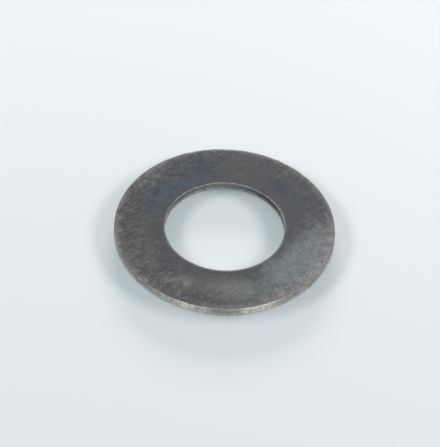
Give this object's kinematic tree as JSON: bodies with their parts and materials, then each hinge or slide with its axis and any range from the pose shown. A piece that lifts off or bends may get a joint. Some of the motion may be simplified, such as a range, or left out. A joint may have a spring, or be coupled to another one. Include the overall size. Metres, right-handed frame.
{
  "type": "shim washer",
  "caption": "Flat steel shim ring with a plain clearance bore, rolled upper edges and a dark, worn oxide finish.",
  "frame": {"origin": "on the axis of the bore, at the lower face", "axes": "+Z along the bore, from the lower face to the upper face; X and Y lie in the lower face"},
  "size_m": [0.024, 0.024, 0.001],
  "materials": {
    "oxide_steel": "satin"
  },
  "bodies": {
    "root": {"washer": "oxide_steel"}
  },
  "joints": []
}
